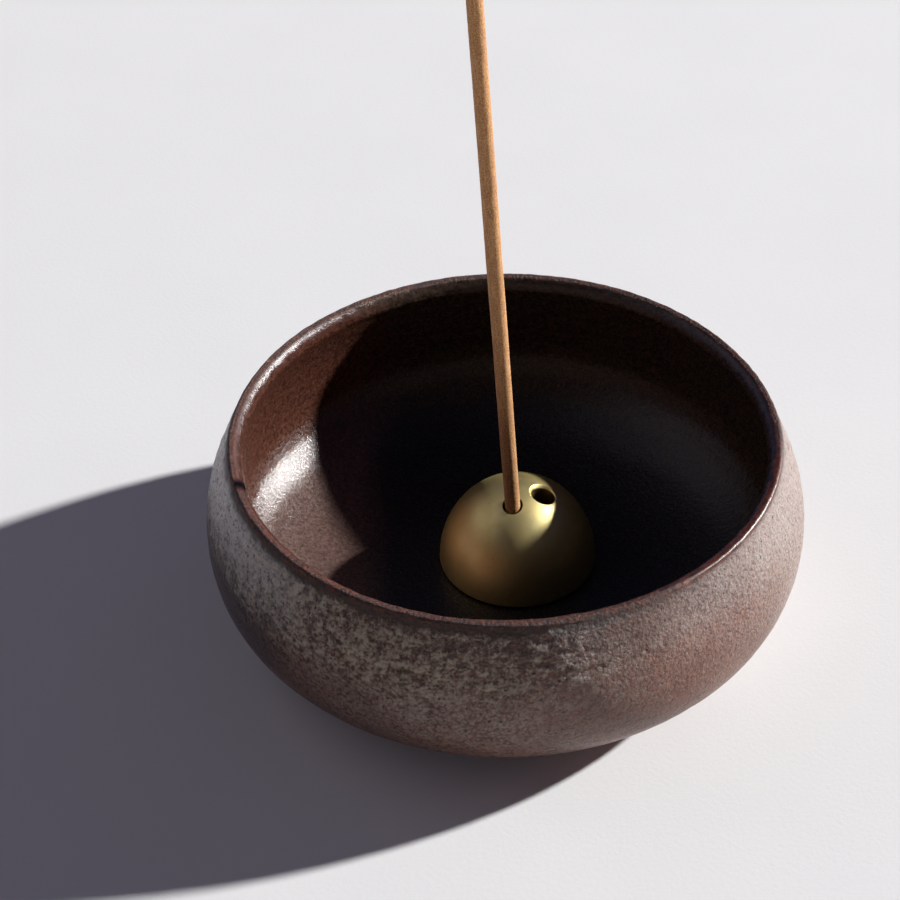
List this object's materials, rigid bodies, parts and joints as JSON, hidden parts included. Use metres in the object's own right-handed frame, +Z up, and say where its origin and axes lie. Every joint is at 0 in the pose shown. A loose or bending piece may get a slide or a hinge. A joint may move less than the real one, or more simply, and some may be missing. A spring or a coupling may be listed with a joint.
{
  "type": "incense burner",
  "caption": "Round closed-in glazed stoneware bowl with a loose drilled brass dome on its floor that holds an incense stick upright over the bowl.",
  "frame": {"origin": "centre of the bowl's foot, at the height of the table", "axes": "+Z up along the bowl's axis; -Y is the front, the side the viewer faces; +X is to the viewer's right"},
  "size_m": [0.1122, 0.1122, 0.1926],
  "materials": {
    "bowl_glaze": "iron-brown glaze, satin and pitted outside with a silvery bloom, darker and glossier inside",
    "holder_brass": "satin turned brass, unlacquered",
    "stick_incense": "dry extruded incense dough, fine sandy grain"
  },
  "bodies": {
    "bowl": {"bowl": "bowl_glaze"},
    "holder": {"incense_holder": "holder_brass"},
    "stick": {"incense_stick": "stick_incense"}
  },
  "joints": [
    {"name": "holder_lift", "type": "slide", "parent": "bowl", "child": "holder", "axis": [0, 0, 1], "range_m": [0, 0.05]},
    {"name": "stick_pull", "type": "slide", "parent": "holder", "child": "stick", "axis": [-0.0568, 0.0348, 0.9978], "range_m": [0, 0.04]}
  ]
}
